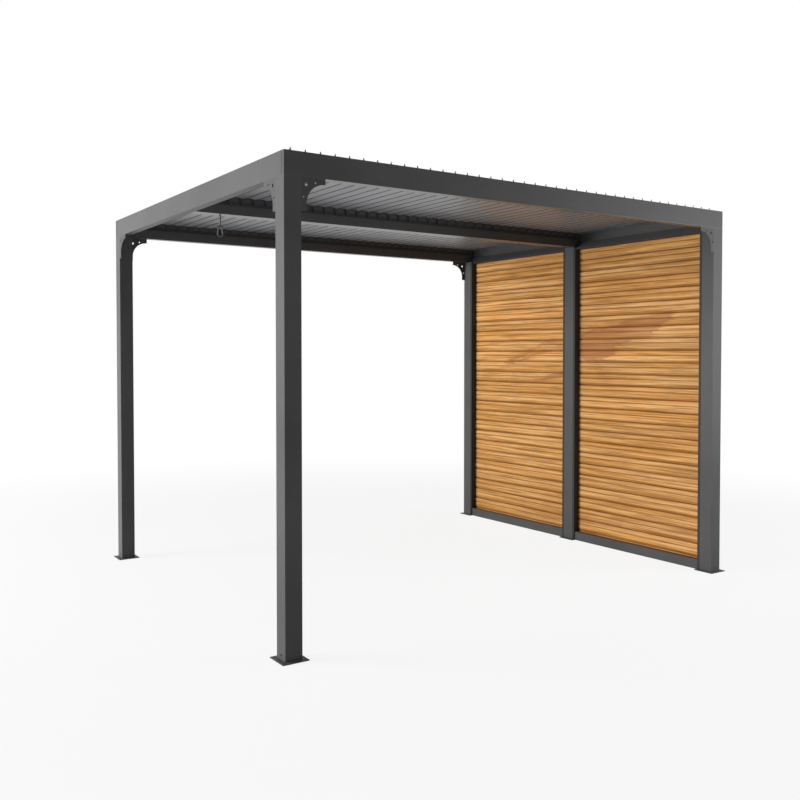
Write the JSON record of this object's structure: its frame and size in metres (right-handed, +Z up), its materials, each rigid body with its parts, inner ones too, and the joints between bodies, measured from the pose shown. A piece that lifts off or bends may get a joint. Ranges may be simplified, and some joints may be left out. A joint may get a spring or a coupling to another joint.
{
  "type": "louvered pergola",
  "caption": "Free-standing louvered pergola: metal frame on five posts, roof of tilting louvres in two fields, one timber-look screen wall, crank drive.",
  "frame": {"origin": "ground level at the centre of the footprint", "axes": "+X along the long front, left to right; +Y from front to back; +Z up"},
  "size_m": [3.275, 2.715, 2.426],
  "materials": {
    "post_coat": "fine matt powder coat",
    "beam_coat": "fine matt powder coat",
    "plate_coat": "matt powder coat",
    "bracket_coat": "matt powder coat",
    "rail_coat": "fine matt powder coat",
    "slat_wood": "satin oiled slats",
    "pivot_rail_coat": "matt",
    "louvre_coat": "satin powder coat",
    "gearbox_coat": "matt",
    "crank_steel": "satin"
  },
  "bodies": {
    "frame": {"post_front_left": "post_coat", "post_back_left": "post_coat", "post_front_right": "post_coat", "post_back_right": "post_coat", "post_middle": "post_coat", "beam_front": "beam_coat", "beam_back": "beam_coat", "beam_left": "beam_coat", "beam_right": "beam_coat", "beam_middle": "beam_coat", "base_plates": "plate_coat", "corner_brackets": "bracket_coat", "side_channels": "rail_coat", "bottom_rails": "rail_coat", "top_rails": "rail_coat", "wall_panel_front": "slat_wood", "wall_panel_back": "slat_wood", "pivot_rails": "pivot_rail_coat", "closing_strips": "louvre_coat", "crank_gearbox": "gearbox_coat"},
    "louvre_01": {"louvre_01": "louvre_coat"},
    "louvre_02": {"louvre_02": "louvre_coat"},
    "louvre_03": {"louvre_03": "louvre_coat"},
    "louvre_04": {"louvre_04": "louvre_coat"},
    "louvre_05": {"louvre_05": "louvre_coat"},
    "louvre_06": {"louvre_06": "louvre_coat"},
    "louvre_07": {"louvre_07": "louvre_coat"},
    "louvre_08": {"louvre_08": "louvre_coat"},
    "louvre_09": {"louvre_09": "louvre_coat"},
    "louvre_10": {"louvre_10": "louvre_coat"},
    "louvre_11": {"louvre_11": "louvre_coat"},
    "louvre_12": {"louvre_12": "louvre_coat"},
    "louvre_13": {"louvre_13": "louvre_coat"},
    "louvre_14": {"louvre_14": "louvre_coat"},
    "louvre_15": {"louvre_15": "louvre_coat"},
    "louvre_16": {"louvre_16": "louvre_coat"},
    "louvre_17": {"louvre_17": "louvre_coat"},
    "louvre_18": {"louvre_18": "louvre_coat"},
    "louvre_19": {"louvre_19": "louvre_coat"},
    "louvre_20": {"louvre_20": "louvre_coat"},
    "louvre_21": {"louvre_21": "louvre_coat"},
    "louvre_22": {"louvre_22": "louvre_coat"},
    "louvre_23": {"louvre_23": "louvre_coat"},
    "louvre_24": {"louvre_24": "louvre_coat"},
    "louvre_25": {"louvre_25": "louvre_coat"},
    "louvre_26": {"louvre_26": "louvre_coat"},
    "louvre_27": {"louvre_27": "louvre_coat"},
    "louvre_28": {"louvre_28": "louvre_coat"},
    "louvre_29": {"louvre_29": "louvre_coat"},
    "louvre_30": {"louvre_30": "louvre_coat"},
    "louvre_31": {"louvre_31": "louvre_coat"},
    "louvre_32": {"louvre_32": "louvre_coat"},
    "louvre_33": {"louvre_33": "louvre_coat"},
    "louvre_34": {"louvre_34": "louvre_coat"},
    "louvre_35": {"louvre_35": "louvre_coat"},
    "louvre_36": {"louvre_36": "louvre_coat"},
    "louvre_37": {"louvre_37": "louvre_coat"},
    "louvre_38": {"louvre_38": "louvre_coat"},
    "crank_eye": {"crank_eye": "crank_steel"}
  },
  "joints": [
    {"name": "louvre_01_tilt", "type": "hinge", "parent": "frame", "child": "louvre_01", "pos_m": [-1.4956, 0, 2.362], "axis": [0, -1, 0], "range_deg": [0, 90]},
    {"name": "louvre_02_tilt", "type": "hinge", "parent": "frame", "child": "louvre_02", "pos_m": [-1.414, 0, 2.362], "axis": [0, -1, 0], "range_deg": [0, 90]},
    {"name": "louvre_03_tilt", "type": "hinge", "parent": "frame", "child": "louvre_03", "pos_m": [-1.3324, 0, 2.362], "axis": [0, -1, 0], "range_deg": [0, 90]},
    {"name": "louvre_04_tilt", "type": "hinge", "parent": "frame", "child": "louvre_04", "pos_m": [-1.2508, 0, 2.362], "axis": [0, -1, 0], "range_deg": [0, 90]},
    {"name": "louvre_05_tilt", "type": "hinge", "parent": "frame", "child": "louvre_05", "pos_m": [-1.1692, 0, 2.362], "axis": [0, -1, 0], "range_deg": [0, 90]},
    {"name": "louvre_06_tilt", "type": "hinge", "parent": "frame", "child": "louvre_06", "pos_m": [-1.0876, 0, 2.362], "axis": [0, -1, 0], "range_deg": [0, 90]},
    {"name": "louvre_07_tilt", "type": "hinge", "parent": "frame", "child": "louvre_07", "pos_m": [-1.006, 0, 2.362], "axis": [0, -1, 0], "range_deg": [0, 90]},
    {"name": "louvre_08_tilt", "type": "hinge", "parent": "frame", "child": "louvre_08", "pos_m": [-0.9244, 0, 2.362], "axis": [0, -1, 0], "range_deg": [0, 90]},
    {"name": "louvre_09_tilt", "type": "hinge", "parent": "frame", "child": "louvre_09", "pos_m": [-0.8428, 0, 2.362], "axis": [0, -1, 0], "range_deg": [0, 90]},
    {"name": "louvre_10_tilt", "type": "hinge", "parent": "frame", "child": "louvre_10", "pos_m": [-0.7612, 0, 2.362], "axis": [0, -1, 0], "range_deg": [0, 90]},
    {"name": "louvre_11_tilt", "type": "hinge", "parent": "frame", "child": "louvre_11", "pos_m": [-0.6796, 0, 2.362], "axis": [0, -1, 0], "range_deg": [0, 90]},
    {"name": "louvre_12_tilt", "type": "hinge", "parent": "frame", "child": "louvre_12", "pos_m": [-0.598, 0, 2.362], "axis": [0, -1, 0], "range_deg": [0, 90]},
    {"name": "louvre_13_tilt", "type": "hinge", "parent": "frame", "child": "louvre_13", "pos_m": [-0.5164, 0, 2.362], "axis": [0, -1, 0], "range_deg": [0, 90]},
    {"name": "louvre_14_tilt", "type": "hinge", "parent": "frame", "child": "louvre_14", "pos_m": [-0.4348, 0, 2.362], "axis": [0, -1, 0], "range_deg": [0, 90]},
    {"name": "louvre_15_tilt", "type": "hinge", "parent": "frame", "child": "louvre_15", "pos_m": [-0.3532, 0, 2.362], "axis": [0, -1, 0], "range_deg": [0, 90]},
    {"name": "louvre_16_tilt", "type": "hinge", "parent": "frame", "child": "louvre_16", "pos_m": [-0.2716, 0, 2.362], "axis": [0, -1, 0], "range_deg": [0, 90]},
    {"name": "louvre_17_tilt", "type": "hinge", "parent": "frame", "child": "louvre_17", "pos_m": [-0.19, 0, 2.362], "axis": [0, -1, 0], "range_deg": [0, 90]},
    {"name": "louvre_18_tilt", "type": "hinge", "parent": "frame", "child": "louvre_18", "pos_m": [-0.1084, 0, 2.362], "axis": [0, -1, 0], "range_deg": [0, 90]},
    {"name": "louvre_19_tilt", "type": "hinge", "parent": "frame", "child": "louvre_19", "pos_m": [-0.0268, 0, 2.362], "axis": [0, -1, 0], "range_deg": [0, 90]},
    {"name": "louvre_20_tilt", "type": "hinge", "parent": "frame", "child": "louvre_20", "pos_m": [0.0548, 0, 2.362], "axis": [0, -1, 0], "range_deg": [0, 90]},
    {"name": "louvre_21_tilt", "type": "hinge", "parent": "frame", "child": "louvre_21", "pos_m": [0.1364, 0, 2.362], "axis": [0, -1, 0], "range_deg": [0, 90]},
    {"name": "louvre_22_tilt", "type": "hinge", "parent": "frame", "child": "louvre_22", "pos_m": [0.218, 0, 2.362], "axis": [0, -1, 0], "range_deg": [0, 90]},
    {"name": "louvre_23_tilt", "type": "hinge", "parent": "frame", "child": "louvre_23", "pos_m": [0.2996, 0, 2.362], "axis": [0, -1, 0], "range_deg": [0, 90]},
    {"name": "louvre_24_tilt", "type": "hinge", "parent": "frame", "child": "louvre_24", "pos_m": [0.3812, 0, 2.362], "axis": [0, -1, 0], "range_deg": [0, 90]},
    {"name": "louvre_25_tilt", "type": "hinge", "parent": "frame", "child": "louvre_25", "pos_m": [0.4628, 0, 2.362], "axis": [0, -1, 0], "range_deg": [0, 90]},
    {"name": "louvre_26_tilt", "type": "hinge", "parent": "frame", "child": "louvre_26", "pos_m": [0.5444, 0, 2.362], "axis": [0, -1, 0], "range_deg": [0, 90]},
    {"name": "louvre_27_tilt", "type": "hinge", "parent": "frame", "child": "louvre_27", "pos_m": [0.626, 0, 2.362], "axis": [0, -1, 0], "range_deg": [0, 90]},
    {"name": "louvre_28_tilt", "type": "hinge", "parent": "frame", "child": "louvre_28", "pos_m": [0.7076, 0, 2.362], "axis": [0, -1, 0], "range_deg": [0, 90]},
    {"name": "louvre_29_tilt", "type": "hinge", "parent": "frame", "child": "louvre_29", "pos_m": [0.7892, 0, 2.362], "axis": [0, -1, 0], "range_deg": [0, 90]},
    {"name": "louvre_30_tilt", "type": "hinge", "parent": "frame", "child": "louvre_30", "pos_m": [0.8708, 0, 2.362], "axis": [0, -1, 0], "range_deg": [0, 90]},
    {"name": "louvre_31_tilt", "type": "hinge", "parent": "frame", "child": "louvre_31", "pos_m": [0.9524, 0, 2.362], "axis": [0, -1, 0], "range_deg": [0, 90]},
    {"name": "louvre_32_tilt", "type": "hinge", "parent": "frame", "child": "louvre_32", "pos_m": [1.034, 0, 2.362], "axis": [0, -1, 0], "range_deg": [0, 90]},
    {"name": "louvre_33_tilt", "type": "hinge", "parent": "frame", "child": "louvre_33", "pos_m": [1.1156, 0, 2.362], "axis": [0, -1, 0], "range_deg": [0, 90]},
    {"name": "louvre_34_tilt", "type": "hinge", "parent": "frame", "child": "louvre_34", "pos_m": [1.1972, 0, 2.362], "axis": [0, -1, 0], "range_deg": [0, 90]},
    {"name": "louvre_35_tilt", "type": "hinge", "parent": "frame", "child": "louvre_35", "pos_m": [1.2788, 0, 2.362], "axis": [0, -1, 0], "range_deg": [0, 90]},
    {"name": "louvre_36_tilt", "type": "hinge", "parent": "frame", "child": "louvre_36", "pos_m": [1.3604, 0, 2.362], "axis": [0, -1, 0], "range_deg": [0, 90]},
    {"name": "louvre_37_tilt", "type": "hinge", "parent": "frame", "child": "louvre_37", "pos_m": [1.442, 0, 2.362], "axis": [0, -1, 0], "range_deg": [0, 90]},
    {"name": "louvre_38_tilt", "type": "hinge", "parent": "frame", "child": "louvre_38", "pos_m": [1.5236, 0, 2.362], "axis": [0, -1, 0], "range_deg": [0, 90]},
    {"name": "crank_turn", "type": "hinge", "parent": "frame", "child": "crank_eye", "pos_m": [-1.3755, 0, 2.23], "axis": [0, 0, 1], "range_deg": [0, 1800]}
  ],
  "couplings": [
    {"joint": "louvre_02_tilt", "follows": "louvre_01_tilt", "ratio": 1},
    {"joint": "louvre_03_tilt", "follows": "louvre_01_tilt", "ratio": 1},
    {"joint": "louvre_04_tilt", "follows": "louvre_01_tilt", "ratio": 1},
    {"joint": "louvre_05_tilt", "follows": "louvre_01_tilt", "ratio": 1},
    {"joint": "louvre_06_tilt", "follows": "louvre_01_tilt", "ratio": 1},
    {"joint": "louvre_07_tilt", "follows": "louvre_01_tilt", "ratio": 1},
    {"joint": "louvre_08_tilt", "follows": "louvre_01_tilt", "ratio": 1},
    {"joint": "louvre_09_tilt", "follows": "louvre_01_tilt", "ratio": 1},
    {"joint": "louvre_10_tilt", "follows": "louvre_01_tilt", "ratio": 1},
    {"joint": "louvre_11_tilt", "follows": "louvre_01_tilt", "ratio": 1},
    {"joint": "louvre_12_tilt", "follows": "louvre_01_tilt", "ratio": 1},
    {"joint": "louvre_13_tilt", "follows": "louvre_01_tilt", "ratio": 1},
    {"joint": "louvre_14_tilt", "follows": "louvre_01_tilt", "ratio": 1},
    {"joint": "louvre_15_tilt", "follows": "louvre_01_tilt", "ratio": 1},
    {"joint": "louvre_16_tilt", "follows": "louvre_01_tilt", "ratio": 1},
    {"joint": "louvre_17_tilt", "follows": "louvre_01_tilt", "ratio": 1},
    {"joint": "louvre_18_tilt", "follows": "louvre_01_tilt", "ratio": 1},
    {"joint": "louvre_19_tilt", "follows": "louvre_01_tilt", "ratio": 1},
    {"joint": "louvre_20_tilt", "follows": "louvre_01_tilt", "ratio": 1},
    {"joint": "louvre_21_tilt", "follows": "louvre_01_tilt", "ratio": 1},
    {"joint": "louvre_22_tilt", "follows": "louvre_01_tilt", "ratio": 1},
    {"joint": "louvre_23_tilt", "follows": "louvre_01_tilt", "ratio": 1},
    {"joint": "louvre_24_tilt", "follows": "louvre_01_tilt", "ratio": 1},
    {"joint": "louvre_25_tilt", "follows": "louvre_01_tilt", "ratio": 1},
    {"joint": "louvre_26_tilt", "follows": "louvre_01_tilt", "ratio": 1},
    {"joint": "louvre_27_tilt", "follows": "louvre_01_tilt", "ratio": 1},
    {"joint": "louvre_28_tilt", "follows": "louvre_01_tilt", "ratio": 1},
    {"joint": "louvre_29_tilt", "follows": "louvre_01_tilt", "ratio": 1},
    {"joint": "louvre_30_tilt", "follows": "louvre_01_tilt", "ratio": 1},
    {"joint": "louvre_31_tilt", "follows": "louvre_01_tilt", "ratio": 1},
    {"joint": "louvre_32_tilt", "follows": "louvre_01_tilt", "ratio": 1},
    {"joint": "louvre_33_tilt", "follows": "louvre_01_tilt", "ratio": 1},
    {"joint": "louvre_34_tilt", "follows": "louvre_01_tilt", "ratio": 1},
    {"joint": "louvre_35_tilt", "follows": "louvre_01_tilt", "ratio": 1},
    {"joint": "louvre_36_tilt", "follows": "louvre_01_tilt", "ratio": 1},
    {"joint": "louvre_37_tilt", "follows": "louvre_01_tilt", "ratio": 1},
    {"joint": "louvre_38_tilt", "follows": "louvre_01_tilt", "ratio": 1},
    {"joint": "crank_turn", "follows": "louvre_01_tilt", "ratio": 20}
  ]
}
